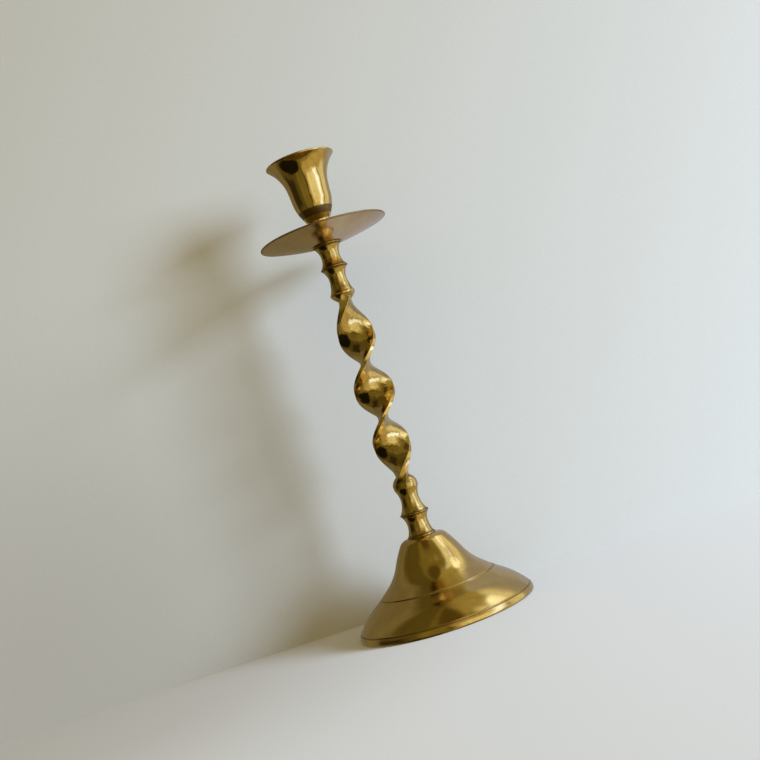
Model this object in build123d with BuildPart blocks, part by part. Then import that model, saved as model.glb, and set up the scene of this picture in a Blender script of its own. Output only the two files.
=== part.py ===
"""A brass altar candlestick with an open twisted stem, as the pieces that it comes apart into."""

import os
from math import cos, radians, sin, sqrt

from build123d import *

os.makedirs("parts", exist_ok=True)

# ---- Driving dimensions, in mm. Z runs up the axis, and Z = 0 is the table that the base stands on.

# Base: a bell of even wall. Its outside is tangent arcs from the foot up to the crown, each one
# (radius, degrees turned), with a plus sign where the wall leans further in.
foot_radius = 50.8
foot_round = 1.2
base_wall = 2.2
rim_band = [(4.9, 37.0)]
flare = [(50.0, 18.6), (116.0, -3.0)]
flank = [(116.0, -3.6), (32.5, -23.0), (75.5, 9.0), (5.5, 55.0)]
turned_line = 0.4
foot_ring_width = 2.0
foot_ring_height = 3.2

# Stem: heights are along the axis from the crown of the base.
stem_length = 174.0
lip_round = 0.5
ring_round = 0.35

# Twist: turn 0 is the middle of the twist, and one unit of turn is half a revolution.
twist_middle = 85.9
half_turn_pitch = 32.3
pitch_drift = 0.65
pitch_slack = 1.1
twist_from = -1.64
twist_to = 1.64
sections_per_half_turn = 9
bar_half_width = 11.35
bar_narrowing = 0.8
bar_end_narrowing = 0.19
bar_half_thickness = 2.9
bar_thickening = 0.42
bar_edge = 1.35
bar_edge_thickening = 0.16
bar_end_swelling = 0.08

# Drip pan.
pan_thickness = 0.9
pan_seat_radius = 9.7
pan_bends = [(6.0, 9.5), (226.5, 6.8)]

# Candle cup: tangent arcs up the outside from the throat above its foot.
cup_foot_radius = 9.4
cup_foot_band = 1.5
cup_throat_radius = 6.6
cup_throat_height = 12.3
cup_outside = [(3.0, -31.0), (45.0, 6.6), (24.6, 21.6), (106.0, -3.6), (23.7, -41.6)]
lip_thickness = 1.2
candle_bore_radius = 10.1
candle_bore_floor = 24.0
candle_bore_top = 32.5
candle_floor_round = 4.5

# M6 fastenings.
thread_radius = 2.95
thread_root_radius = 2.45
thread_pitch = 1.0
tapped_radius = 3.0
clearance_radius = 3.2
tapped_depth = 13.5
stud_grip = 12.5
washer_radius = 6.0
washer_thickness = 1.6
nut_across_flats = 10.0
nut_height = 5.0
stud_end_beyond_nut = 3.0


def arc_end(start, heading, arcs):
    """The point and heading, in degrees, where a run of tangent arcs ends."""
    r, z = start
    for radius, turn in arcs:
        side = 1 if turn > 0 else -1
        after = heading + turn
        r += side * radius * (sin(radians(after)) - sin(radians(heading)))
        z += side * radius * (cos(radians(heading)) - cos(radians(after)))
        heading = after
    return (r, z), heading


def tangent_arcs(start, heading, arcs):
    """Draws a run of tangent arcs in the open BuildLine, and returns the point where it ends."""
    for radius, turn in arcs:
        direction = (cos(radians(heading)), sin(radians(heading)))
        JernArc(start=start, tangent=direction, radius=radius, arc_size=turn)
        start, heading = arc_end(start, heading, [(radius, turn)])
    return start


def inset(arcs, depth):
    """The same run of arcs, drawn to its left by depth."""
    return [(radius - depth if turn > 0 else radius + depth, turn) for radius, turn in arcs]


# ---- Heights that follow from the driving dimensions.
bell = rim_band + flare + flank
(crown_radius, crown), _ = arc_end((foot_radius, foot_round), 90, bell)
stem_foot = crown
stem_top = crown + stem_length
pan_underside = stem_top
cup_foot = pan_underside + pan_thickness

# ---- Base.
with BuildPart() as base:
    with BuildSketch(Plane.XZ):
        with BuildLine():
            Line((foot_radius - base_wall, 0), (foot_radius - foot_round, 0))
            JernArc((foot_radius - foot_round, 0), (1, 0), foot_round, 90)
            tangent_arcs((foot_radius, foot_round), 90, bell)
            Line((crown_radius, crown), (clearance_radius, crown))
            Line((clearance_radius, crown), (clearance_radius, crown - base_wall))
            Line((clearance_radius, crown - base_wall), (crown_radius, crown - base_wall))
            tangent_arcs((foot_radius - base_wall, foot_round), 90, inset(bell, base_wall))
            Line((foot_radius - base_wall, foot_round), (foot_radius - base_wall, 0))
        make_face()
    revolve(axis=Axis.Z)
    # A thicker ring inside the foot, which gives the base its flat bearing face.
    with BuildSketch(Plane.XY):
        Circle(foot_radius - foot_round)
        Circle(foot_radius - foot_round - foot_ring_width, mode=Mode.SUBTRACT)
    extrude(amount=foot_ring_height)
    # Two fine turned lines: one above the rim band, one on the flank.
    with BuildSketch(Plane.XZ):
        for arcs_below in (rim_band, rim_band + flare):
            line_at, _ = arc_end((foot_radius, foot_round), 90, arcs_below)
            with Locations(line_at):
                Circle(turned_line)
    revolve(axis=Axis.Z, mode=Mode.SUBTRACT)


# ---- Twisted stem.
def turned_end(seat, up, collar, neck, ring, throat, shoulder, nose):
    """A turned end's half profile. Every point is (radius, distance from the seat towards the twist)."""

    def at(radius, distance):
        return (radius, seat + up * distance)

    def hollow(start, lowest, end):
        """A concave stretch that runs parallel to the axis at its lowest point."""
        TangentArc(at(*lowest), at(*start), tangent=(0, -up))
        TangentArc(at(*lowest), at(*end), tangent=(0, up))

    lip_inner = collar - lip_round
    ring_inner = ring[0] - ring_round
    with BuildSketch(Plane.XZ) as profile:
        with BuildLine():
            Line(at(0, 0), at(lip_inner, 0))
            ThreePointArc(at(lip_inner, 0), at(collar, lip_round), at(lip_inner, 2 * lip_round))
            hollow((lip_inner, 2 * lip_round), neck, (ring_inner, ring[1] - ring_round))
            ThreePointArc(at(ring_inner, ring[1] - ring_round), at(*ring), at(ring_inner, ring[1] + ring_round))
            hollow((ring_inner, ring[1] + ring_round), throat, shoulder[0])
            ThreePointArc(at(*shoulder[0]), at(*shoulder[1]), at(*shoulder[2]))
            ThreePointArc(at(*shoulder[2]), at(*nose[0]), at(*nose[1]))
            Line(at(*nose[1]), at(0, nose[1][1]))
            Line(at(0, nose[1][1]), at(0, 0))
        make_face()
    return profile.sketch


def twist_height(turn):
    """Height above the crown at a given turn: the twist is tightest in its middle."""
    return twist_middle + half_turn_pitch * turn + pitch_drift * turn**2 + pitch_slack * turn**3


section_count = round((twist_to - twist_from) * sections_per_half_turn) + 1
lower_end = turned_end(
    seat=stem_foot,
    up=1,
    collar=8.2,
    neck=(6.03, 7.2),
    ring=(8.4, 13.5),
    throat=(5.28, 21.9),
    shoulder=[(6.75, 27.7), (7.1, 29.6), (7.0, 31.0)],
    nose=[(6.0, 33.2), (3.0, 35.6)],
)
upper_end = turned_end(
    seat=stem_top,
    up=-1,
    collar=8.4,
    neck=(5.4, 7.5),
    ring=(7.95, 14.1),
    throat=(5.0, 21.1),
    shoulder=[(6.9, 28.9), (7.28, 29.8), (6.9, 30.7)],
    nose=[(5.6, 32.3), (3.0, 34.2)],
)

with BuildPart() as twisted_stem:
    for index in range(section_count):
        turn = twist_from + (twist_to - twist_from) * index / (section_count - 1)
        half_width = bar_half_width - bar_narrowing * turn**2 - bar_end_narrowing * turn**6
        half_thickness = bar_half_thickness + bar_thickening * turn**2
        half_edge = bar_edge + bar_edge_thickening * turn**2 + bar_end_swelling * turn**6
        facing = radians(180 * turn)
        across = (cos(facing), sin(facing), 0)
        with BuildSketch(Plane((0, 0, crown + twist_height(turn)), x_dir=across, z_dir=(0, 0, 1))):
            with BuildLine():
                for side in (1, -1):
                    ThreePointArc(
                        (-side * half_width, side * half_edge),
                        (0, side * half_thickness),
                        (side * half_width, side * half_edge),
                    )
                    Line((side * half_width, half_edge), (side * half_width, -half_edge))
            make_face()
    loft()
    revolve(lower_end, axis=Axis.Z)
    revolve(upper_end, axis=Axis.Z)
    for seat, into in ((stem_foot, 1), (stem_top, -1)):
        with BuildSketch(Plane((0, 0, seat), z_dir=(0, 0, into))):
            Circle(tapped_radius)
        extrude(amount=tapped_depth, mode=Mode.SUBTRACT)

# ---- Drip pan.
with BuildPart() as drip_pan:
    with BuildSketch(Plane.XZ):
        with BuildLine():
            under_end, rim_slope = arc_end((pan_seat_radius, pan_underside), 0, pan_bends)
            over_end, _ = arc_end((pan_seat_radius, cup_foot), 0, inset(pan_bends, pan_thickness))
            rim_half = pan_thickness / 2
            rim_tip = (
                (under_end[0] + over_end[0]) / 2 + rim_half * cos(radians(rim_slope)),
                (under_end[1] + over_end[1]) / 2 + rim_half * sin(radians(rim_slope)),
            )
            Line((clearance_radius, pan_underside), (pan_seat_radius, pan_underside))
            tangent_arcs((pan_seat_radius, pan_underside), 0, pan_bends)
            ThreePointArc(under_end, rim_tip, over_end)
            tangent_arcs((pan_seat_radius, cup_foot), 0, inset(pan_bends, pan_thickness))
            Line((pan_seat_radius, cup_foot), (clearance_radius, cup_foot))
            Line((clearance_radius, cup_foot), (clearance_radius, pan_underside))
        make_face()
    revolve(axis=Axis.Z)

# ---- Candle cup.
with BuildPart() as candle_cup:
    throat_at = (cup_throat_radius, cup_foot + cup_throat_height)
    lip_outer, lip_heading = arc_end(throat_at, 90, cup_outside)
    lip_lean = radians(lip_heading)
    lip_inner = (
        lip_outer[0] - lip_thickness * sin(lip_lean),
        lip_outer[1] + lip_thickness * cos(lip_lean),
    )
    lip_tip = (
        (lip_outer[0] + lip_inner[0]) / 2 + lip_thickness / 2 * cos(lip_lean),
        (lip_outer[1] + lip_inner[1]) / 2 + lip_thickness / 2 * sin(lip_lean),
    )
    bore_top = (candle_bore_radius, cup_foot + candle_bore_top)
    bore_floor = (candle_bore_radius, cup_foot + candle_bore_floor)
    seat_floor = (candle_bore_radius - candle_floor_round, bore_floor[1] - candle_floor_round)
    with BuildSketch(Plane.XZ):
        with BuildLine():
            Line((0, cup_foot), (cup_foot_radius, cup_foot))
            Line((cup_foot_radius, cup_foot), (cup_foot_radius, cup_foot + cup_foot_band))
            TangentArc(throat_at, (cup_foot_radius, cup_foot + cup_foot_band), tangent=(0, -1))
            tangent_arcs(throat_at, 90, cup_outside)
            ThreePointArc(lip_outer, lip_tip, lip_inner)
            TangentArc(bore_top, lip_inner, tangent=(0, 1))
            Line(bore_top, bore_floor)
            TangentArc(bore_floor, seat_floor, tangent=(0, -1))
            Line(seat_floor, (0, seat_floor[1]))
            Line((0, seat_floor[1]), (0, cup_foot))
        make_face()
    revolve(axis=Axis.Z)
    with BuildSketch(Plane.XY.offset(cup_foot)):
        Circle(tapped_radius)
    extrude(amount=tapped_depth, mode=Mode.SUBTRACT)


# ---- Fastenings.
def threaded_rod(low, high):
    """A stud's half profile, its thread drawn as closed rings of the real pitch and depth."""
    turns = round((high - low) / thread_pitch)
    top = low + turns * thread_pitch
    zigzag = []
    for n in range(turns):
        zigzag.append((thread_root_radius, low + n * thread_pitch))
        zigzag.append((thread_radius, low + (n + 0.5) * thread_pitch))
    with BuildSketch(Plane.XZ) as profile:
        with BuildLine():
            Polyline((0, low), *zigzag, (thread_root_radius, top), (0, top), close=True)
        make_face()
    return profile.sketch


with BuildPart() as cup_stud:
    revolve(threaded_rod(stem_top - stud_grip, cup_foot + stud_grip), axis=Axis.Z)

washer_top = crown - base_wall
nut_top = washer_top - washer_thickness
nut_bottom = nut_top - nut_height

with BuildPart() as base_stud:
    revolve(threaded_rod(nut_bottom - stud_end_beyond_nut, stem_foot + stud_grip), axis=Axis.Z)

with BuildPart() as base_washer:
    with BuildSketch(Plane.XY.offset(nut_top)):
        Circle(washer_radius)
        Circle(clearance_radius, mode=Mode.SUBTRACT)
    extrude(amount=washer_thickness)

with BuildPart() as base_nut:
    with BuildSketch(Plane.XY.offset(nut_bottom)):
        RegularPolygon(nut_across_flats / 2, 6, major_radius=False)
        Circle(tapped_radius, mode=Mode.SUBTRACT)
    extrude(amount=nut_height)
    # The corners are turned off at 30 degrees on both faces.
    with BuildSketch(Plane.XZ):
        corner = nut_across_flats / sqrt(3)
        corner_drop = (corner - nut_across_flats / 2) * sin(radians(30)) / cos(radians(30))
        with BuildLine():
            Polyline(
                (0, nut_bottom),
                (nut_across_flats / 2, nut_bottom),
                (corner, nut_bottom + corner_drop),
                (corner, nut_top - corner_drop),
                (nut_across_flats / 2, nut_top),
                (0, nut_top),
                close=True,
            )
        make_face()
    revolve(axis=Axis.Z, mode=Mode.INTERSECT)

pieces = {
    "base": base,
    "twisted_stem": twisted_stem,
    "drip_pan": drip_pan,
    "candle_cup": candle_cup,
    "cup_stud": cup_stud,
    "base_stud": base_stud,
    "base_washer": base_washer,
    "base_nut": base_nut,
}
for name, piece in pieces.items():
    piece.part.label = name
    export_step(piece.part, f"parts/{name}.step")
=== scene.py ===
"""The looks of a brass altar candlestick with an open twisted stem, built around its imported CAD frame."""
from math import atan2, ceil, copysign, cos, degrees, pi, radians, sin, sqrt

import bpy
import numpy as np
from mathutils import Matrix, Vector


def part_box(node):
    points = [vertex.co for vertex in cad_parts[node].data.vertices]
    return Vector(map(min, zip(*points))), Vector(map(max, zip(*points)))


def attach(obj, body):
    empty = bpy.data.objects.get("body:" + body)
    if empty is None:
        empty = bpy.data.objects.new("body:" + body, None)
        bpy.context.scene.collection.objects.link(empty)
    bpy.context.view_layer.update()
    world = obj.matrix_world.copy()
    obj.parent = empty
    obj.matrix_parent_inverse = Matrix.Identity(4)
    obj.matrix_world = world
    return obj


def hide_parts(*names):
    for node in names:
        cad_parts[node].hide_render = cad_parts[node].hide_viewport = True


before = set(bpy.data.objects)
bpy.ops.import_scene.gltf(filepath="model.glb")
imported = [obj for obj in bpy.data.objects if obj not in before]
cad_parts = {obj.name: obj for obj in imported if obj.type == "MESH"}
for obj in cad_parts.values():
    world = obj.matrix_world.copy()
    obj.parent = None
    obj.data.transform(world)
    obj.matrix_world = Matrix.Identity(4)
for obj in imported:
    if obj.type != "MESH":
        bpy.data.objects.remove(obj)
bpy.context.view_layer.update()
scene = bpy.context.scene
MM = 0.001

# ---- Where things are, in mm, from the CAD.
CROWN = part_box("base")[1].z / MM
STEM_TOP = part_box("twisted_stem")[1].z / MM
CUP_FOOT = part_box("candle_cup")[0].z / MM

# ---- Camera: rolled by LEAN, and looking up a little.
SENSOR_WIDTH = 36.0
FOCAL_LENGTH = 50.637
LEAN = radians(18.15)
PITCH = radians(2.46)
CAMERA_AT = (0.00488, -0.607, 0.11099)

camera = bpy.data.objects.new("camera", bpy.data.cameras.new("camera"))
scene.collection.objects.link(camera)
camera.data.sensor_width = SENSOR_WIDTH
camera.data.lens = FOCAL_LENGTH
camera.data.clip_start = 0.01
forward = Vector((0, cos(PITCH), sin(PITCH)))
up = Vector((0, -sin(PITCH), cos(PITCH)))
right = Vector((1, 0, 0))
camera_right = cos(LEAN) * right - sin(LEAN) * up
camera_up = sin(LEAN) * right + cos(LEAN) * up
facing = Matrix((camera_right, camera_up, -forward)).transposed().to_4x4()
camera.matrix_world = Matrix.Translation(CAMERA_AT) @ facing
scene.camera = camera
scene.view_settings.view_transform = "Standard"


# ---- Profiles: lists of (radius, height) in mm.
def arc_run(start, heading, arcs, step=0.4, max_turn=5.0):
    """Points along a run of tangent arcs (radius, degrees turned), with the start."""
    points = [start]
    for radius, turn in arcs:
        r, z = points[-1]
        side = copysign(1, turn)
        count = max(2, ceil(radius * radians(abs(turn)) / step), ceil(abs(turn) / max_turn))
        for n in range(1, count + 1):
            a, b = radians(heading), radians(heading + turn * n / count)
            points.append((r + side * radius * (sin(b) - sin(a)), z + side * radius * (cos(a) - cos(b))))
        heading += turn
    return points


def arc_from(start, end, heading, count=24):
    """An arc that leaves start at a heading, in degrees, and ends at end."""
    (r0, z0), (r1, z1) = start, end
    chord = sqrt((r1 - r0) ** 2 + (z1 - z0) ** 2)
    half = atan2(z1 - z0, r1 - r0) - radians(heading)
    half = atan2(sin(half), cos(half))
    if abs(half) < 1e-6:
        return [start, end]
    radius = chord / 2 / sin(abs(half))
    return arc_run(start, heading, [(radius, degrees(2 * half))], step=2 * radius * abs(half) / count)


def three_point_arc(a, b, c, count=12):
    """An arc from a through b to c."""
    (ax, ay), (bx, by), (cx, cy) = a, b, c
    aa, bb, cc = ax**2 + ay**2, bx**2 + by**2, cx**2 + cy**2
    d = 2 * (ax * (by - cy) + bx * (cy - ay) + cx * (ay - by))
    ux = (aa * (by - cy) + bb * (cy - ay) + cc * (ay - by)) / d
    uy = (aa * (cx - bx) + bb * (ax - cx) + cc * (bx - ax)) / d
    radius = np.hypot(ax - ux, ay - uy)
    angles = np.unwrap([atan2(p[1] - uy, p[0] - ux) for p in (a, b, c)])
    return [(ux + radius * cos(t), uy + radius * sin(t)) for t in np.linspace(angles[0], angles[2], count)]


def inset(arcs, depth):
    """The same run of arcs, drawn to its left by depth."""
    return [(radius - depth if turn > 0 else radius + depth, turn) for radius, turn in arcs]


def length(arcs):
    """How long a run of arcs is."""
    return sum(radius * radians(abs(turn)) for radius, turn in arcs)


def run_along(line):
    """The distance of each point of a line from its start."""
    return np.concatenate([[0], np.cumsum(np.hypot(*np.diff(line, axis=0).T))])


def rounded(points, radius, closed=False, least=25.0):
    """The same line with its corners of more than least degrees rounded."""
    made = []
    count = len(points)
    for n, here in enumerate(points):
        if not closed and n in (0, count - 1):
            made.append(here)
            continue
        a = np.subtract(points[n - 1], here)
        b = np.subtract(points[(n + 1) % count], here)
        la, lb = np.hypot(*a), np.hypot(*b)
        turn = 180 - degrees(np.arccos(np.clip(a @ b / (la * lb), -1, 1)))
        if turn < least:
            made.append(here)
            continue
        cut = min(radius, 0.45 * la, 0.45 * lb)
        p, q = here + a / la * cut, here + b / lb * cut
        for t in np.linspace(0, 1, 6):
            made.append(tuple((1 - t) ** 2 * p + 2 * t * (1 - t) * np.array(here) + t**2 * q))
    return made


def resampled(points, fine_at, step, reach=1.0, fine=0.06):
    """The line resampled along its length: step apart, and fine apart near the places in fine_at."""
    line = np.array(points, float)
    run = run_along(line)
    wanted = [np.arange(0, run[-1], step), [run[-1]], run]
    for place in fine_at:
        wanted.append(np.arange(place - reach, place + reach, fine))
    at = np.unique(np.round(np.concatenate(wanted), 4))
    at = at[(at >= 0) & (at <= run[-1])]
    at = at[np.concatenate([[True], np.diff(at) > 0.02])]
    return np.column_stack([np.interp(at, run, line[:, 0]), np.interp(at, run, line[:, 1])]), at


def near(values, places, width):
    """1 at each place, falling off over width."""
    total = np.zeros_like(values)
    for place in places:
        total = np.maximum(total, np.exp(-(((values - place) / width) ** 2)))
    return total


# ---- Meshes. Each point carries run, its distance along the profile in mm, and a mark from 0 to 1. Dirt and painted shade in the hollows follow that mark.
SMOOTH_BELOW = radians(40)


def ring_mesh(name, rings, run, dirt_and_shade, closed_loop):
    """A closed skin over rings of points, shape (rings, points, 3) in mm.
    The first and last rings are joined in a closed loop, or each closed by a fan."""
    count, around, _ = rings.shape
    verts = rings.reshape(-1, 3) * MM
    i = np.arange(count if closed_loop else count - 1)[:, None]
    j = np.arange(around)[None, :]
    a = i * around + j
    b = i * around + (j + 1) % around
    c = (i + 1) % count * around + (j + 1) % around
    d = (i + 1) % count * around + j
    faces = np.stack([a, b, c, d], axis=-1).reshape(-1, 4).tolist()
    run_all = np.repeat(run, around)
    dirt_and_shade_all = dirt_and_shade.ravel() if dirt_and_shade.ndim == 2 else np.repeat(dirt_and_shade, around)
    if not closed_loop:
        ends = [rings[0].mean(axis=0) * MM, rings[-1].mean(axis=0) * MM]
        verts = np.vstack([verts, ends])
        low, high = count * around, count * around + 1
        last = (count - 1) * around
        for k in range(around):
            faces.append((low, (k + 1) % around, k))
            faces.append((high, last + k, last + (k + 1) % around))
        run_all = np.concatenate([run_all, [run[0], run[-1]]])
        dirt_and_shade_all = np.concatenate([dirt_and_shade_all, [0, 0]])
    mesh = bpy.data.meshes.new(name)
    mesh.from_pydata(verts.tolist(), [], faces)
    for label, values in (("run", run_all), ("dirt_and_shade", dirt_and_shade_all)):
        mesh.attributes.new(label, "FLOAT", "POINT").data.foreach_set("value", values.astype(np.float32))
    mesh.shade_smooth()
    mesh.set_sharp_from_angle(angle=SMOOTH_BELOW)
    obj = bpy.data.objects.new(name, mesh)
    scene.collection.objects.link(obj)
    return obj


def lathe(name, line, run, dirt_and_shade, closed_loop, around):
    """The skin that a profile sweeps round the Z axis."""
    angle = 2 * pi * np.arange(around) / around
    r, z = line[:, 0][:, None], line[:, 1][:, None]
    rings = np.stack([r * np.cos(angle), r * np.sin(angle), z + 0 * angle], axis=-1)
    return ring_mesh(name, rings, run, dirt_and_shade, closed_loop)


# ---- Sizes that more than one piece shares, in mm.
CLEARANCE_HOLE = 3.2
TAPPED_RADIUS = 3.0
TAPPED_DEPTH = 13.5
TAPPED_CHAMFER = 0.1
# A surface that ends on the axis is closed by a fan of faces out to this radius.
FAN_RADIUS = 0.4

# ---- Base.
FOOT_RADIUS = 50.8
FOOT_ROUND = 1.2
WALL = 2.2
RIM_BAND = [(4.9, 37.0)]
FLARE = [(50.0, 18.6), (116.0, -3.0)]
FLANK = [(116.0, -3.6), (32.5, -23.0), (75.5, 9.0), (5.5, 55.0)]
BELL = RIM_BAND + FLARE + FLANK
FOOT_RING_IN = 47.6
FOOT_RING_TOP = 3.2
# The two turned lines, each with a low burr at both sides.
LINE_DEPTH = 0.36
LINE_WIDTH = 0.26
BURR_HEIGHT = 0.05
BURR_WIDTH = 0.22
BURR_OFFSET = 0.6
BASE_EDGE_ROUND = 0.25
# Dirt and painted shade lie round the stem's collar, in the turned lines and under the foot.
COLLAR_DIRT_AND_SHADE_AT = 8.4
COLLAR_DIRT_AND_SHADE_WIDTH = 0.35
LINE_DIRT_AND_SHADE_WIDTH = 0.4


def make_base():
    start = (FOOT_RADIUS, FOOT_ROUND)
    lines_at = [length(RIM_BAND), length(RIM_BAND + FLARE)]
    outside, run = resampled(arc_run(start, 90, BELL), lines_at, step=0.5)
    tangent = np.gradient(outside, axis=0)
    tangent /= np.hypot(*tangent.T)[:, None]
    inward = np.column_stack([-tangent[:, 1], tangent[:, 0]])
    burrs_at = [at + side * BURR_OFFSET for at in lines_at for side in (-1, 1)]
    cut = LINE_DEPTH * near(run, lines_at, LINE_WIDTH)
    burr = BURR_HEIGHT * near(run, burrs_at, BURR_WIDTH)
    outside = outside + inward * (cut - burr)[:, None]
    foot = arc_run((FOOT_RADIUS - FOOT_ROUND, 0), 0, [(FOOT_ROUND, 90)], step=0.15)[:-1]
    inside = arc_run((FOOT_RADIUS - WALL, FOOT_ROUND), 90, inset(BELL, WALL), step=1.0)
    inside = [point for point in inside if point[1] > FOOT_RING_TOP]
    loop = (
        foot
        + [tuple(point) for point in outside]
        + [(CLEARANCE_HOLE, CROWN), (CLEARANCE_HOLE, CROWN - WALL)]
        + inside[::-1]
        + [(inside[0][0] + 0.05, FOOT_RING_TOP), (FOOT_RING_IN, FOOT_RING_TOP), (FOOT_RING_IN, 0)]
    )
    loop = np.array(rounded(loop, BASE_EDGE_ROUND, closed=True))
    on_crown = loop[:, 1] > CROWN - 0.4
    dirt_and_shade_mask = near(loop[:, 0], [COLLAR_DIRT_AND_SHADE_AT], COLLAR_DIRT_AND_SHADE_WIDTH) * on_crown
    for r, z in (arc_run(start, 90, RIM_BAND)[-1], arc_run(start, 90, RIM_BAND + FLARE)[-1]):
        away = np.hypot(loop[:, 0] - r, loop[:, 1] - z)
        dirt_and_shade_mask = np.maximum(dirt_and_shade_mask, 0.9 * near(away, [0], LINE_DIRT_AND_SHADE_WIDTH))
    under_foot = loop[:, 1] < 0.3
    dirt_and_shade_mask[under_foot] = 0.5
    return lathe("base_bell", loop, run_along(loop), dirt_and_shade_mask, closed_loop=True, around=384)


# ---- Stem: two turned ends, with heights from the seat towards the twist, and the twisted bar.
COLLAR_ROUND = 0.5
RING_ROUND = 0.35
NOSE_TIP = 1.5
LOWER_END = dict(
    collar=8.2,
    neck=(6.03, 7.2),
    ring=(8.4, 13.5),
    throat=(5.28, 21.9),
    shoulder=[(6.75, 27.7), (7.1, 29.6), (7.0, 31.0)],
    nose=[(6.0, 33.2), (3.0, 35.6)],
)
UPPER_END = dict(
    collar=8.4,
    neck=(5.4, 7.5),
    ring=(7.95, 14.1),
    throat=(5.0, 21.1),
    shoulder=[(6.9, 28.9), (7.28, 29.8), (6.9, 30.7)],
    nose=[(5.6, 32.3), (3.0, 34.2)],
)
# One unit of turn is half a revolution, and turn 0 is half way up the twist.
TWIST_MIDDLE = 85.9
HALF_TURN_PITCH = 32.3
PITCH_DRIFT = 0.65
PITCH_SLACK = 1.1
TWIST_REACH = 1.9
BAR_HALF_WIDTH = 11.35
BAR_NARROWING = 0.8
BAR_END_NARROWING = 0.19
BAR_HALF_THICKNESS = 2.9
BAR_THICKENING = 0.42
BAR_EDGE = 1.35
BAR_EDGE_THICKENING = 0.16
BAR_END_SWELLING = 0.08
BAR_EDGE_ROUND = 0.35
BAR_MEETS_END_ROUND = 0.3
# Dirt and painted shade lie in the corners beside each collar and ring, and where the bar meets the turned ends.
COLLAR_CORNER = 1.15
RING_CORNER = 0.55
CORNER_DIRT_AND_SHADE_WIDTH = 0.45
MEETING_DIRT_AND_SHADE_WIDTH = 0.7


def turned_end(collar, neck, ring, throat, shoulder, nose):
    """Points (radius, distance from the seat towards the twist), with the distance always growing."""
    lip_in, ring_in = collar - COLLAR_ROUND, ring[0] - RING_ROUND
    ring_low, ring_high = ring[1] - RING_ROUND, ring[1] + RING_ROUND
    points = three_point_arc((lip_in, 0), (collar, COLLAR_ROUND), (lip_in, 2 * COLLAR_ROUND), 11)
    points += arc_from(neck, (lip_in, 2 * COLLAR_ROUND), -90)[::-1]
    points += arc_from(neck, (ring_in, ring_low), 90)[1:]
    points += three_point_arc((ring_in, ring_low), ring, (ring_in, ring_high), 9)
    points += arc_from(throat, (ring_in, ring_high), -90)[::-1]
    points += arc_from(throat, shoulder[0], 90)[1:]
    points += three_point_arc(*shoulder)[1:]
    points += three_point_arc(shoulder[2], *nose)[1:]
    points.append((0, nose[1][1] + NOSE_TIP))
    made = [points[0]]
    for r, d in points[1:]:
        if d > made[-1][1] + 1e-4:
            made.append((r, d))
    return np.array(made)


def smooth_most(a, b, soft):
    """The larger of a and b, with the change between them rounded over soft."""
    h = np.clip(0.5 + 0.5 * (b - a) / soft, 0, 1)
    return a * (1 - h) + b * h + soft * h * (1 - h)


def smooth_least(a, b, soft):
    """The smaller of a and b, rounded in the same way."""
    return -smooth_most(-a, -b, soft)


def tapped_hole(seat, at_z, into):
    """Rings from a seat's edge into its tapped hole, where into is 1 for up and -1 for down."""
    outline = [
        (TAPPED_RADIUS, at_z),
        (TAPPED_RADIUS - TAPPED_CHAMFER / 2, at_z + into * TAPPED_CHAMFER),
        (TAPPED_RADIUS - TAPPED_CHAMFER / 2, at_z + into * TAPPED_DEPTH),
        (FAN_RADIUS, at_z + into * (TAPPED_DEPTH + TAPPED_CHAMFER)),
    ]
    made = []
    for radius, height in outline:
        ring = seat.copy()
        ring[:, :2] *= (radius / np.hypot(ring[:, 0], ring[:, 1]))[:, None]
        ring[:, 2] = height
        made.append(ring)
    return made


def section_angles():
    """Angles round the bar's section, closest together at its two edges."""
    fine = np.concatenate([np.arange(-15, -4, 0.7), np.arange(-4, 4, 1.2), np.arange(4, 15, 0.7)])
    coarse = np.arange(15.5, 164.5, 2.4)
    angles = np.radians(np.concatenate([fine, coarse, fine + 180, coarse + 180]))
    return np.unique(np.round(angles % (2 * pi), 6))[None, :]


def bar_radius(turn, barred, alpha):
    """How far the twisted bar reaches at each turn, in each direction alpha of its own section."""
    half_width = BAR_HALF_WIDTH - BAR_NARROWING * turn**2 - BAR_END_NARROWING * turn**6
    half_width = np.where(barred, np.maximum(half_width, 0.5), 0.5)[:, None]
    half_thick = (BAR_HALF_THICKNESS + BAR_THICKENING * turn**2)[:, None]
    half_edge = (BAR_EDGE + BAR_EDGE_THICKENING * turn**2 + BAR_END_SWELLING * turn**6)[:, None]
    c, s = np.abs(np.cos(alpha)), np.abs(np.sin(alpha))
    edge = half_width / np.maximum(c, 1e-3)
    crowning = half_thick - half_edge
    radius = (half_width**2 + crowning**2) / (2 * np.maximum(crowning, 0.05))
    centre = half_thick - radius
    face = s * centre + np.sqrt(np.maximum(radius**2 - (c * centre) ** 2, 0))
    return np.where(barred[:, None], smooth_least(edge, face, BAR_EDGE_ROUND), 0)


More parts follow.
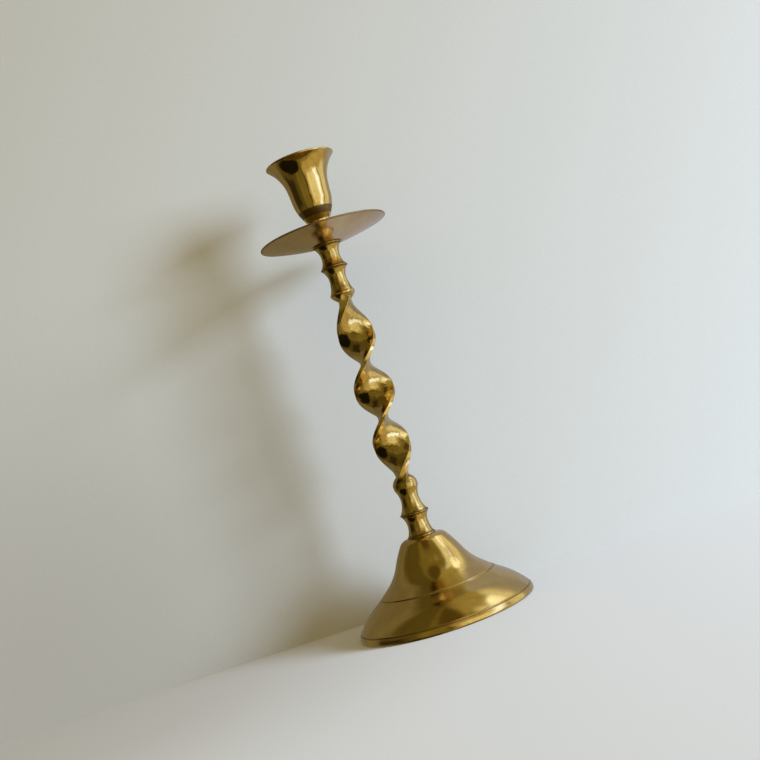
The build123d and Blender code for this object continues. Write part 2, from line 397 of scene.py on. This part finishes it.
def make_stem():
    lower, upper = turned_end(**LOWER_END), turned_end(**UPPER_END)
    low_z, high_z = CROWN + lower[:, 1], (STEM_TOP - upper[:, 1])[::-1]
    twist_z = np.arange(CROWN + 24, STEM_TOP - 23, 0.3)
    z = np.unique(np.round(np.concatenate([low_z, high_z, twist_z]), 4))
    z = z[np.concatenate([[True], np.diff(z) > 0.03])]
    turned = np.interp(z, low_z, lower[:, 0], right=0) + np.interp(z, high_z, upper[::-1, 0], left=0)
    turns = np.linspace(-TWIST_REACH, TWIST_REACH, 2000)
    heights = CROWN + TWIST_MIDDLE + HALF_TURN_PITCH * turns + PITCH_DRIFT * turns**2 + PITCH_SLACK * turns**3
    turn = np.interp(z, heights, turns)
    barred = (z > heights[0]) & (z < heights[-1])
    alpha = section_angles()
    bar = bar_radius(turn, barred, alpha)
    body = turned[:, None] + 0 * alpha
    r = smooth_most(body, bar, BAR_MEETS_END_ROUND)
    angle = alpha + (pi * turn)[:, None]
    rings = np.stack([r * np.cos(angle), r * np.sin(angle), z[:, None] + 0 * r], axis=-1)
    bottom = tapped_hole(rings[0], CROWN, 1)[::-1]
    top = tapped_hole(rings[-1], STEM_TOP, -1)
    corners = []
    for end, seat, side in ((LOWER_END, CROWN, 1), (UPPER_END, STEM_TOP, -1)):
        ring_at = end["ring"][1]
        for distance in (COLLAR_CORNER, ring_at - RING_CORNER, ring_at + RING_CORNER):
            corners.append(seat + side * distance)
    dirt_and_shade_mask = near(z, corners, CORNER_DIRT_AND_SHADE_WIDTH)[:, None] + 0 * r
    meeting = np.exp(-((bar - body) / MEETING_DIRT_AND_SHADE_WIDTH) ** 2)
    dirt_and_shade_mask = np.maximum(dirt_and_shade_mask, 0.7 * np.where((bar > 1) & (body > 1), meeting, 0))
    # Dirt and painted shade fill the tapped holes.
    dirt_and_shade_mask[0] = dirt_and_shade_mask[-1] = 1
    in_hole = np.ones((len(bottom), dirt_and_shade_mask.shape[1]))
    dirt_and_shade_mask = np.vstack([in_hole, dirt_and_shade_mask, in_hole])
    run = np.concatenate([np.full(len(bottom), z[0]), z, np.full(len(top), z[-1])])
    return ring_mesh("stem_twist", np.array(bottom + list(rings) + top), run, dirt_and_shade_mask, closed_loop=False)


# ---- Pan.
PAN_THICKNESS = 0.9
PAN_SEAT = 9.7
PAN_BENDS = [(6.0, 9.5), (226.5, 6.8)]
PAN_EDGE_ROUND = 0.15
# Dirt and painted shade lie round the stem's collar, along the upper edge of the rim and over the upper side.
PAN_DIRT_AND_SHADE_AT = 8.9
PAN_DIRT_AND_SHADE_WIDTH = 0.8
RIM_DIRT_AND_SHADE_WIDTH = 0.45
UPPER_SIDE_DIRT_AND_SHADE = 0.6


def make_pan():
    under = arc_run((PAN_SEAT, STEM_TOP), 0, PAN_BENDS, step=0.5)
    over = arc_run((PAN_SEAT, STEM_TOP + PAN_THICKNESS), 0, inset(PAN_BENDS, PAN_THICKNESS), step=0.5)
    lean = radians(sum(turn for _, turn in PAN_BENDS))
    middle = np.add(under[-1], over[-1]) / 2
    tip = tuple(middle + PAN_THICKNESS / 2 * np.array([cos(lean), sin(lean)]))
    rim = three_point_arc(under[-1], tip, over[-1], 11)
    hole = [(CLEARANCE_HOLE, STEM_TOP), (CLEARANCE_HOLE, STEM_TOP + PAN_THICKNESS)]
    loop = hole[:1] + under + rim[1:-1] + over[::-1] + hole[1:]
    loop = np.array(rounded(loop, PAN_EDGE_ROUND, closed=True, least=40))
    dirt_and_shade_mask = 0.8 * near(loop[:, 0], [PAN_DIRT_AND_SHADE_AT], PAN_DIRT_AND_SHADE_WIDTH)
    from_rim = np.hypot(loop[:, 0] - over[-1][0], loop[:, 1] - over[-1][1])
    dirt_and_shade_mask = np.maximum(dirt_and_shade_mask, 0.8 * near(from_rim, [0], RIM_DIRT_AND_SHADE_WIDTH))
    half_way = len(under) + len(rim) // 2
    dirt_and_shade_mask[half_way:] = np.maximum(dirt_and_shade_mask[half_way:], UPPER_SIDE_DIRT_AND_SHADE)
    return lathe("drip_pan_spun", loop, run_along(loop), dirt_and_shade_mask, closed_loop=True, around=320)


# ---- Cup: heights above its foot.
CUP_FOOT_RADIUS = 9.4
CUP_FOOT_BAND = 1.5
CUP_THROAT = (6.6, 12.3)
CUP_OUTSIDE = [(3.0, -31.0), (45.0, 6.6), (24.6, 21.6), (106.0, -3.6), (23.7, -41.6)]
LIP_THICKNESS = 1.2
BORE_RADIUS = 10.1
BORE_TOP = 32.5
BORE_FLOOR = 24.0
FLOOR_ROUND = 4.5
CUP_EDGE_ROUND = 0.2
# Dirt and painted shade lie above the band of the foot, and in the socket.
BAND_DIRT_AND_SHADE_WIDTH = 0.6
SOCKET_DIRT_AND_SHADE = 0.9


def make_cup():
    throat = (CUP_THROAT[0], CUP_FOOT + CUP_THROAT[1])
    band_top = (CUP_FOOT_RADIUS, CUP_FOOT + CUP_FOOT_BAND)
    bore_top, bore_floor = CUP_FOOT + BORE_TOP, CUP_FOOT + BORE_FLOOR
    socket_floor = bore_floor - FLOOR_ROUND
    outside = arc_run(throat, 90, CUP_OUTSIDE, step=0.4)
    lean = radians(90 + sum(turn for _, turn in CUP_OUTSIDE))
    lip_out = outside[-1]
    lip_in = (lip_out[0] - LIP_THICKNESS * sin(lean), lip_out[1] + LIP_THICKNESS * cos(lean))
    middle = ((lip_out[0] + lip_in[0]) / 2, (lip_out[1] + lip_in[1]) / 2)
    tip = (middle[0] + LIP_THICKNESS / 2 * cos(lean), middle[1] + LIP_THICKNESS / 2 * sin(lean))
    line = [
        (FAN_RADIUS, CUP_FOOT + TAPPED_DEPTH + TAPPED_CHAMFER),
        (TAPPED_RADIUS - TAPPED_CHAMFER / 2, CUP_FOOT + TAPPED_DEPTH),
        (TAPPED_RADIUS, CUP_FOOT),
        (CUP_FOOT_RADIUS, CUP_FOOT),
        band_top,
    ]
    line += arc_from(throat, band_top, -90)[::-1][1:]
    line += outside[1:]
    line += three_point_arc(lip_out, tip, lip_in, 13)[1:]
    line += arc_from((BORE_RADIUS, bore_top), lip_in, 90, 40)[::-1][1:]
    line += [(BORE_RADIUS, bore_floor)]
    line += arc_run((BORE_RADIUS - FLOOR_ROUND, socket_floor), 0, [(FLOOR_ROUND, 90)], step=0.4)[::-1][1:]
    line += [(FAN_RADIUS, socket_floor)]
    line, run = resampled(rounded(line, CUP_EDGE_ROUND), [], step=0.8)
    r, z = line[:, 0], line[:, 1]
    dirt_and_shade_mask = near(z, [band_top[1] + 0.2], BAND_DIRT_AND_SHADE_WIDTH) * (r > 4)
    in_socket = (z < bore_floor + 1) & (r <= BORE_RADIUS + 0.01) & (z > CUP_FOOT + 16)
    dirt_and_shade_mask = np.maximum(dirt_and_shade_mask, SOCKET_DIRT_AND_SHADE * in_socket)
    return lathe("candle_cup_turned", line, run, dirt_and_shade_mask, closed_loop=False, around=256)


# ---- Materials.
class Nodes:
    """A shorthand for building node trees."""

    def __init__(self, tree):
        self.tree = tree
        tree.nodes.clear()

    def add(self, kind, inputs=(), **settings):
        node = self.tree.nodes.new(kind)
        for name, value in settings.items():
            setattr(node, name, value)
        for name, value in dict(inputs).items():
            self.put(node.inputs[name], value)
        return node

    def put(self, socket, value):
        if isinstance(value, bpy.types.NodeSocket):
            self.tree.links.new(value, socket)
        elif isinstance(value, tuple) and socket.type == "RGBA" and len(value) == 3:
            socket.default_value = (*value, 1)
        else:
            socket.default_value = value

    def math(self, operation, *values, clamp=False):
        return self.add("ShaderNodeMath", enumerate(values), operation=operation, use_clamp=clamp).outputs[0]

    def product(self, a, b):
        return self.math("MULTIPLY", a, b)

    def total(self, a, b, clamp=False):
        return self.math("ADD", a, b, clamp=clamp)

    def combined(self, x=0.0, y=0.0, z=0.0):
        return self.add("ShaderNodeCombineXYZ", enumerate((x, y, z))).outputs[0]

    def place_in_mm(self):
        """Where on the object the shaded point is."""
        place = self.add("ShaderNodeTexCoord").outputs["Object"]
        scaled = self.add("ShaderNodeVectorMath", {0: place, "Scale": 1 / MM}, operation="SCALE")
        return scaled.outputs[0]

    def distance(self, a, b):
        return self.add("ShaderNodeVectorMath", {0: a, 1: b}, operation="DISTANCE").outputs["Value"]

    def noise(self, vector, scale, detail=3.0, roughness=0.5, distortion=0.0):
        node = self.add("ShaderNodeTexNoise", {
            "Vector": vector, "Scale": scale, "Detail": detail, "Roughness": roughness, "Distortion": distortion,
        })
        return node.outputs["Fac"]

    def span(self, value, low, high, to_low=0.0, to_high=1.0):
        """value mapped smoothly from low..high to to_low..to_high."""
        node = self.add("ShaderNodeMapRange", {
            "Value": value, "From Min": low, "From Max": high, "To Min": to_low, "To Max": to_high,
        }, interpolation_type="SMOOTHSTEP")
        return node.outputs["Result"]

    def mix(self, amount, a, b, blend="MIX"):
        node = self.add("ShaderNodeMix", data_type="RGBA", blend_type=blend)
        for index, value in ((0, amount), (6, a), (7, b)):
            self.put(node.inputs[index], value)
        return node.outputs[2]


def new_material(name):
    """A material, and the shorthand for its node tree."""
    material = bpy.data.materials.new(name)
    material.use_nodes = True
    return material, Nodes(material.node_tree)


SPECK_BROWN = (0.20, 0.12, 0.04)
# Dirt and painted shade both darken the brass to this brown.
DIRT_AND_SHADE_BROWN = (0.085, 0.045, 0.012)
SCRATCH_BROWN = (0.16, 0.10, 0.035)
SPECK_DEPTH = 0.012
SCRATCH_DEPTH = 0.02


def brass(
    name, clean, aged, rough, rings, cast, haze=0.0, metal=1.0, swell=0.16, detail=2, pits=1.0, scratches=0.0
):
    """Aged solid brass. rings and cast are the heights, in mm, of turning marks and of the soft waviness of
    the casting, and swell is how many of its waves there are per mm. haze is the roughness of the fine
    turning marks. pits and scratches, from 0 to 1, are how much of those it has."""
    material, n = new_material(name)
    place = n.place_in_mm()
    xyz = n.add("ShaderNodeSeparateXYZ", {0: place})
    flat = n.combined(xyz.outputs[0], xyz.outputs[1])
    unit = n.add("ShaderNodeVectorMath", {0: flat}, operation="NORMALIZE").outputs[0]
    round_dir = n.add("ShaderNodeSeparateXYZ", {0: unit})
    run = n.add("ShaderNodeAttribute", attribute_name="run").outputs["Fac"]
    dirt_and_shade = n.add("ShaderNodeAttribute", attribute_name="dirt_and_shade").outputs["Fac"]

    def around(across, along):
        """Coordinates for marks that run round the axis: across per mm of profile, along per turn."""
        return n.combined(
            n.product(run, across),
            n.product(round_dir.outputs[0], along),
            n.product(round_dir.outputs[1], along),
        )

    blotch = n.noise(place, 0.07, 6, 0.6, 0.5)
    mottle = n.noise(place, 0.45, 4, 0.6)
    specks = n.product(n.span(n.noise(place, 1.4, 2, 0.5), 0.66, 0.72), pits)
    turning = n.noise(around(1.6, 1.5), 1.0, 5, 0.65)
    fine = n.noise(around(7.0, 3.0), 1.0, 3, 0.6)
    age = n.total(n.span(blotch, 0.35, 0.72, 0, 0.8), n.product(n.span(mottle, 0.4, 0.75), 0.25), clamp=True)
    uneven = n.span(n.noise(place, 0.3, 3), 0.3, 0.6, 0.8, 1.0)
    # Dirt and painted shade from the mesh, made uneven; they darken the brass and roughen it.
    dirt_and_shade_mask = n.math("MULTIPLY", dirt_and_shade, uneven, clamp=True)

    colour = n.mix(age, clean, aged)
    colour = n.mix(n.product(specks, 0.7), colour, SPECK_BROWN)
    colour = n.mix(n.product(dirt_and_shade_mask, 0.85), colour, DIRT_AND_SHADE_BROWN)

    roughness = n.total(n.span(mottle, 0.3, 0.8, rough * 0.8, rough * 1.25), n.product(age, 0.05))
    roughness = n.total(roughness, n.product(fine, haze))
    roughness = n.total(roughness, n.product(dirt_and_shade_mask, 0.35), clamp=True)

    height = n.total(n.product(turning, rings), n.product(fine, rings * 0.35))
    height = n.total(height, n.product(n.noise(place, swell, detail), cast))
    height = n.total(height, n.product(mottle, cast * 0.10 * pits))
    height = n.math("SUBTRACT", height, n.product(specks, SPECK_DEPTH))
    if scratches:
        from_line = n.math("ABSOLUTE", n.math("SUBTRACT", n.noise(place, 0.22, 1, 0.4, 0.6), 0.5))
        here_and_there = n.span(n.noise(place, 0.09, 2), 0.55, 0.62)
        scratch = n.product(n.span(from_line, 0.001, 0.005, 1, 0), here_and_there)
        colour = n.mix(n.product(scratch, scratches), colour, SCRATCH_BROWN)
        height = n.math("SUBTRACT", height, n.product(scratch, scratches * SCRATCH_DEPTH))
    bump = n.add("ShaderNodeBump", {"Height": height, "Strength": 1.0, "Distance": MM})
    shader = n.add("ShaderNodeBsdfPrincipled", {
        "Base Color": colour, "Metallic": metal, "Roughness": roughness, "Normal": bump.outputs[0],
    })
    n.add("ShaderNodeOutputMaterial", {"Surface": shader.outputs[0]})
    return material


def steel():
    """Plain steel with a brownish stain."""
    material, n = new_material("fastener_steel_look")
    place = n.place_in_mm()
    stain = n.noise(place, 0.5, 5, 0.6)
    grain = n.noise(place, 4.0, 3, 0.6)
    colour = n.mix(n.span(stain, 0.35, 0.7), (0.56, 0.55, 0.52), (0.30, 0.25, 0.20))
    roughness = n.span(stain, 0.3, 0.8, 0.28, 0.5)
    bump = n.add("ShaderNodeBump", {"Height": n.product(grain, 0.02), "Strength": 1.0, "Distance": MM})
    shader = n.add("ShaderNodeBsdfPrincipled", {
        "Base Color": colour, "Metallic": 1.0, "Roughness": roughness, "Normal": bump.outputs[0],
    })
    n.add("ShaderNodeOutputMaterial", {"Surface": shader.outputs[0]})
    return material


base_brass = brass(
    "base_brass_look", clean=(0.80, 0.58, 0.22), aged=(0.71, 0.495, 0.18), rough=0.10,
    rings=0.0006, cast=0.03, haze=0.02, swell=0.05, detail=0, pits=0.3, scratches=0.6,
)
stem_brass = brass(
    "stem_brass_look", clean=(0.83, 0.62, 0.25), aged=(0.48, 0.32, 0.09), rough=0.075,
    rings=0.0006, cast=0.25, swell=0.20, pits=0.8,
)
cup_brass = brass(
    "cup_brass_look", clean=(0.85, 0.63, 0.26), aged=(0.72, 0.51, 0.18), rough=0.05,
    rings=0.0003, cast=0.12, swell=0.11, detail=0, pits=0,
)
spun_brass = brass(
    "spun_brass_look", clean=(0.80, 0.59, 0.30), aged=(0.72, 0.50, 0.24), rough=0.12,
    rings=0.0005, cast=0.02, haze=0.03, metal=0.98, pits=0,
)
fastener_steel = steel()

for piece, node, look, slot in (
    (make_base(), "base", base_brass, "polished_brass"),
    (make_stem(), "twisted_stem", stem_brass, "polished_brass"),
    (make_pan(), "drip_pan", spun_brass, "spun_brass"),
    (make_cup(), "candle_cup", cup_brass, "polished_brass"),
):
    piece.data.materials.append(look)
    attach(piece, "root")
    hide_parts(node)

for node in ("cup_stud", "base_stud", "base_washer", "base_nut"):
    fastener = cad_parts[node]
    fastener.data.materials.clear()
    fastener.data.materials.append(fastener_steel)


# ---- Stage: a pale floor, and a pale backdrop just behind the base.
BACKDROP_Y = 0.0525
STAGE_REACH = 2.4
STAGE_FACING = (0, -sqrt(0.5), sqrt(0.5))
STAGE_MIDDLE = (0, 0, 0.13)
STAGE_FADE = (0.40, 0.90)
# The floor gets less light than the backdrop, so its paper is lighter.
FLOOR_TONE = (0.88, 0.89, 0.93)
BACKDROP_TONE = (0.75, 0.755, 0.75)
# Painted shade: the paper is a little dimmer and warmer low at the left, away from the window.
DUSK_MIDDLE = (-0.20, 0, 0)
DUSK_FADE = (0.05, 0.28)
DUSK_TINT = (0.78, 0.755, 0.72)


def paper(name, tone, see_through_back):
    """Matt paper, lit as if both of its planes faced the same way, so that little shows where they meet.
    It fades out away from the candlestick, into the plain tone of the world behind it."""
    material, n = new_material(name)
    facing = n.combined(*STAGE_FACING)
    geometry = n.add("ShaderNodeNewGeometry")
    position = geometry.outputs["Position"]
    gone = n.span(n.distance(position, STAGE_MIDDLE), *STAGE_FADE)
    if see_through_back:
        gone = n.math("MAXIMUM", gone, geometry.outputs["Backfacing"])
    grain = n.span(n.noise(position, 900.0, 3), 0.3, 0.7, 0.985, 1.015)
    colour = n.mix(1.0, n.combined(grain, grain, grain), tone, "MULTIPLY")
    # Painted shade, low at the left.
    dusk = n.span(n.distance(position, DUSK_MIDDLE), *DUSK_FADE, 1, 0)
    colour = n.mix(dusk, colour, DUSK_TINT, "MULTIPLY")
    matt = n.add("ShaderNodeBsdfDiffuse", {"Color": colour, "Normal": facing}).outputs[0]
    clear = n.add("ShaderNodeBsdfTransparent").outputs[0]
    shader = n.add("ShaderNodeMixShader", {0: gone, 1: matt, 2: clear}).outputs[0]
    n.add("ShaderNodeOutputMaterial", {"Surface": shader})
    return material


def stage_plane(name, corners, material):
    """A four-cornered plane that the brass doesn't reflect, and that isn't part of the object."""
    mesh = bpy.data.meshes.new(name)
    mesh.from_pydata(corners, [], [(0, 1, 2, 3)])
    mesh.materials.append(material)
    obj = bpy.data.objects.new(name, mesh)
    scene.collection.objects.link(obj)
    obj.visible_glossy = False


floor_corners = [(x * STAGE_REACH, y * STAGE_REACH, 0) for x, y in ((-1, -1), (1, -1), (1, 1), (-1, 1))]
backdrop_corners = [(x * STAGE_REACH, BACKDROP_Y, z * STAGE_REACH) for x, z in ((-1, 0), (1, 0), (1, 1), (-1, 1))]
stage_plane("floor", floor_corners, paper("floor_paper", FLOOR_TONE, see_through_back=False))
stage_plane("backdrop", backdrop_corners, paper("backdrop_paper", BACKDROP_TONE, see_through_back=True))


# ---- Light: one large soft window low at the right lights the stage. The brass shows the room instead.
# Azimuths are in degrees to the right of the candlestick's front, and elevations above its level.
def area_light(name, azimuth, elevation, distance, width, height, watts, colour):
    """A soft light that shines on the middle of the stage, and that the brass doesn't reflect."""
    light = bpy.data.lights.new(name, "AREA")
    light.shape = "RECTANGLE"
    light.size, light.size_y = width, height
    light.energy = watts
    light.color = colour
    obj = bpy.data.objects.new(name, light)
    scene.collection.objects.link(obj)
    a, e = radians(azimuth), radians(elevation)
    away = Vector((sin(a) * cos(e), -cos(a) * cos(e), sin(e)))
    obj.location = Vector(STAGE_MIDDLE) + away * distance
    obj.rotation_euler = away.to_track_quat("Z", "Y").to_euler()
    obj.visible_camera = False
    obj.visible_glossy = False


area_light(
    "window", azimuth=57, elevation=9, distance=1.7, width=0.57, height=0.68, watts=39.5, colour=(0.68, 0.82, 1.0)
)

# ---- Room: what the brass reflects, laid out by direction.
world = bpy.data.worlds.new("room")
scene.world = world
world.use_nodes = True
n = Nodes(world.node_tree)
direction = n.add("ShaderNodeTexCoord").outputs["Generated"]
toward = n.add("ShaderNodeSeparateXYZ", {0: direction})
azimuth = n.math("ARCTAN2", toward.outputs[0], n.product(toward.outputs[1], -1.0))
azimuth = n.product(azimuth, 180 / pi)
elevation = n.product(n.math("ARCSINE", toward.outputs[2]), 180 / pi)
# The edges of everything in the room wander, as they do in an old polished surface.
WANDER = 4
azimuth = n.total(azimuth, n.span(n.noise(direction, 2.5, 1), 0.3, 0.7, -WANDER, WANDER))
elevation = n.total(elevation, n.span(n.noise(direction, 3.0, 1), 0.3, 0.7, -WANDER, WANDER))


def within(angle, limits, soft):
    """1 between two angles and 0 outside them, with soft edges."""
    low, high = limits
    return n.product(n.span(angle, low - soft, low + soft), n.span(angle, high - soft, high + soft, 1, 0))


def patch(colour, tone, az, el, soft=6.0, slant=0.0):
    """Lays a soft-edged patch of a tone over the room, between two azimuths and two elevations, in degrees.
    slant is how far its sides move right per degree of height."""
    across = n.math("SUBTRACT", azimuth, n.product(elevation, slant)) if slant else azimuth
    return n.mix(n.product(within(across, az, soft), within(elevation, el, soft)), colour, tone)


def oval(colour, tone, az, el, soft=0.15):
    """The same, for a patch that fills the oval between those azimuths and elevations."""
    squares = []
    for angle, (low, high) in ((azimuth, az), (elevation, el)):
        offset = n.math("DIVIDE", n.math("SUBTRACT", angle, (low + high) / 2), (high - low) / 2)
        squares.append(n.product(offset, offset))
    distance = n.math("SQRT", n.total(*squares))
    return n.mix(n.span(distance, 1 - soft, 1 + soft, 1, 0), colour, tone)


EVERY_HEIGHT = (-200, 200)
room = (0.10, 0.08, 0.022)
# The room grows brighter towards the right, where the window is.
room = patch(room, (0.19, 0.155, 0.04), (-42, 200), EVERY_HEIGHT, soft=8)
room = patch(room, (0.50, 0.41, 0.19), (4, 200), (-58, 40), soft=8)
room = patch(room, (0.86, 0.84, 0.62), (15, 62), (-24, 22), soft=7)
room = patch(room, (0.80, 0.80, 0.64), (58, 200), (-22, 62), soft=9)
room = patch(room, (0.36, 0.31, 0.12), (40, 130), (62, 86), soft=6)
# The window, and a soft round glow above it.
room = patch(room, (1.35, 1.65, 2.6), (56, 74), (-22, 30), soft=6, slant=0.25)
room = oval(room, (1.35, 1.45, 1.6), (78, 106), (34, 60))
# The pale sheet behind the candlestick, brighter at the right.
room = patch(room, (0.38, 0.38, 0.42), (118, 200), (-60, 64), soft=7)
room = patch(room, (0.19, 0.165, 0.10), (-200, -106), (-60, 64), soft=7)
# A dark patch at the left, the dim ceiling, and a large dark shape low at the left.
room = patch(room, (0.035, 0.028, 0.012), (-104, -62), (-14, 20), soft=7)
room = oval(room, (0.09, 0.06, 0.015), (-30, 34), (52, 92), soft=0.2)
room = oval(room, (0.010, 0.008, 0.004), (-98, -12), (-74, -25), soft=0.12)
# Two thin upright bars, one in front and one beside the window.
room = patch(room, (0.06, 0.04, 0.012), (-4, 1), (-44, 24), soft=2)
room = patch(room, (0.22, 0.17, 0.07), (79, 82), (-34, 44), soft=2, slant=0.25)
# Soft upright folds, and a slight unevenness everywhere.
folds = n.combined(n.product(azimuth, 0.075), n.product(elevation, 0.012))
shade = n.span(n.noise(folds, 1.0, 1), 0.3, 0.7, 0.9, 1.08)
shade = n.product(shade, n.span(n.noise(direction, 7.0, 1), 0.35, 0.65, 0.97, 1.03))
room = n.mix(1.0, room, n.combined(shade, shade, shade), "MULTIPLY")

# The brass sees the room, the paper gets a plain warm fill, and the camera sees a plain pale tone.
WARM_FILL = (0.505, 0.405, 0.19)
PALE = (0.62, 0.62, 0.60)
paths = n.add("ShaderNodeLightPath")
seen = n.mix(paths.outputs["Is Diffuse Ray"], room, WARM_FILL)
seen = n.mix(paths.outputs["Is Camera Ray"], seen, PALE)
background = n.add("ShaderNodeBackground", {"Color": seen, "Strength": 1.0})
n.add("ShaderNodeOutputWorld", {"Surface": background.outputs[0]})

bpy.context.view_layer.update()
